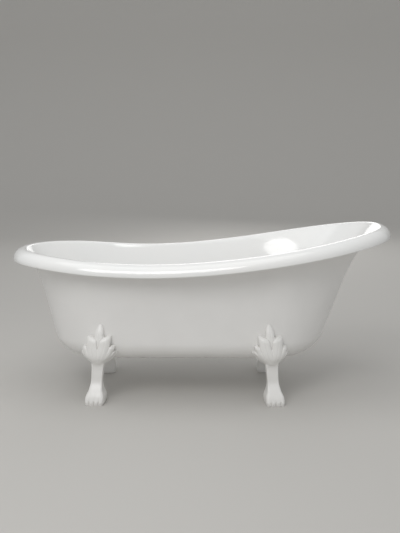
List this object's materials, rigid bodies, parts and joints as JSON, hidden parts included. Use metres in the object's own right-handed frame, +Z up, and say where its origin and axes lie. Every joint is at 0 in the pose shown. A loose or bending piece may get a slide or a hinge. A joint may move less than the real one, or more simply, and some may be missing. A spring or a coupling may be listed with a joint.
{
  "type": "slipper clawfoot bathtub",
  "caption": "Free-standing roll-top slipper bath raised at its head end, on four claw feet with palmettes, with a click waste at the foot end.",
  "frame": {"origin": "centre of the overall box on the floor, under the middle of the bath", "axes": "+Z up; +X along the bath towards the raised head end; -Y towards the long side that the picture shows"},
  "size_m": [1.7002, 0.768, 0.7621],
  "materials": {
    "enamelled_iron": "gloss white enamel inside and over the roll, satin white paint outside",
    "painted_iron": "satin white paint",
    "zinc_plated_steel": "bright zinc plate",
    "chromed_brass": "polished chrome plate",
    "machined_brass": "machined brass",
    "black_rubber": "moulded rubber"
  },
  "bodies": {
    "bath": {"bath_shell": "enamelled_iron", "foot_front_left": "painted_iron", "foot_front_right": "painted_iron", "foot_back_left": "painted_iron", "foot_back_right": "painted_iron", "stud_front_left": "zinc_plated_steel", "stud_front_right": "zinc_plated_steel", "stud_back_left": "zinc_plated_steel", "stud_back_right": "zinc_plated_steel", "nut_front_left": "zinc_plated_steel", "nut_front_right": "zinc_plated_steel", "nut_back_left": "zinc_plated_steel", "nut_back_right": "zinc_plated_steel", "foot_washers": "zinc_plated_steel", "waste_tail": "chromed_brass", "waste_top_seal": "black_rubber", "waste_under_seal": "black_rubber", "waste_backnut": "machined_brass", "click_cartridge": "machined_brass"},
    "plug": {"plug_plunger": "machined_brass", "plug_cap": "chromed_brass", "plug_seal": "black_rubber"}
  },
  "joints": [
    {"name": "plug_lift", "type": "slide", "parent": "bath", "child": "plug", "axis": [0, 0, 1], "range_m": [0, 0.008]}
  ]
}
